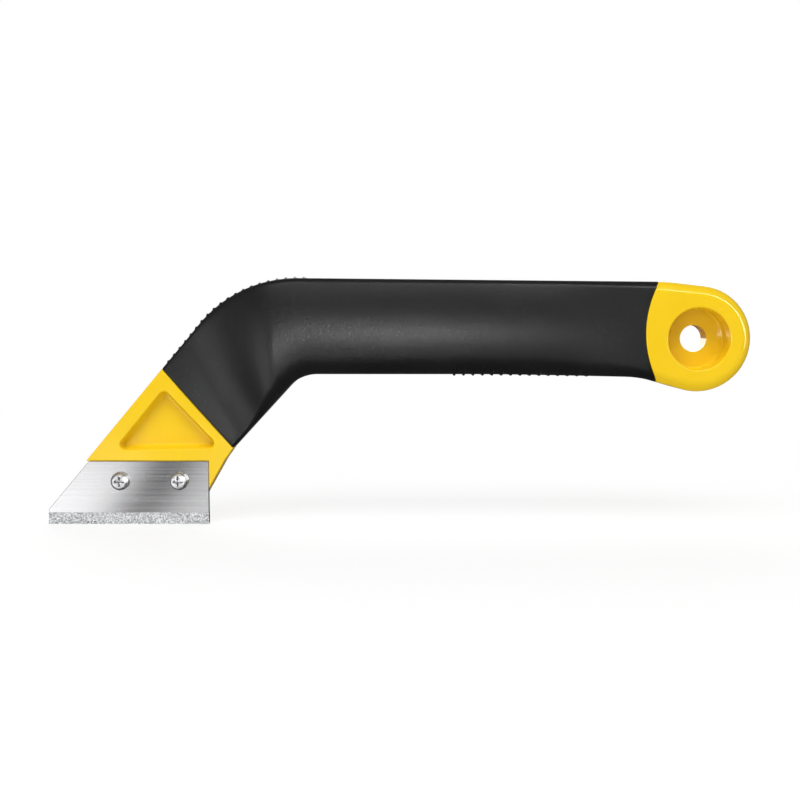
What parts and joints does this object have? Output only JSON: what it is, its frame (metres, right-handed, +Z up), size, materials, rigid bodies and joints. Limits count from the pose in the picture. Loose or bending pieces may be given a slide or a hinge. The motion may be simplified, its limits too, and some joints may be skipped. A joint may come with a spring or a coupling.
{
  "type": "grout rake",
  "caption": "Cranked hand tool with a soft grip, a round pommel with a hanging hole, and a grit-edged steel blade screwed to an angled head.",
  "frame": {"origin": "centre of the bounding box seen from above, at the height of the cutting edge's underside", "axes": "+X along the handle towards the pommel, +Z up away from the cutting edge, -Y out of the face that carries the blade and screw heads"},
  "size_m": [0.2162, 0.024, 0.0769],
  "materials": {
    "core_plastic": "glossy yellow moulding",
    "grip_rubber": "matte black soft grip",
    "blade_steel": "brushed along the blade",
    "carbide_grit": "coarse grey grit",
    "screw_zinc": "bright zinc plate",
    "nut_zinc": "bright zinc plate"
  },
  "bodies": {
    "handle": {"handle_core": "core_plastic", "grip_sleeve": "grip_rubber", "hex_nut_front": "nut_zinc", "hex_nut_rear": "nut_zinc"},
    "blade_unit": {"blade": "blade_steel", "carbide_grit_edge": "carbide_grit"},
    "front_screw": {"blade_screw_front": "screw_zinc"},
    "rear_screw": {"blade_screw_rear": "screw_zinc"}
  },
  "joints": [
    {"name": "blade_lift", "type": "slide", "parent": "handle", "child": "blade_unit", "axis": [0, -1, 0], "range_m": [0, 0.012]},
    {"name": "front_screw_draw", "type": "slide", "parent": "blade_unit", "child": "front_screw", "axis": [0, -1, 0], "range_m": [0, 0.0085]},
    {"name": "rear_screw_draw", "type": "slide", "parent": "blade_unit", "child": "rear_screw", "axis": [0, -1, 0], "range_m": [0, 0.0085]}
  ]
}
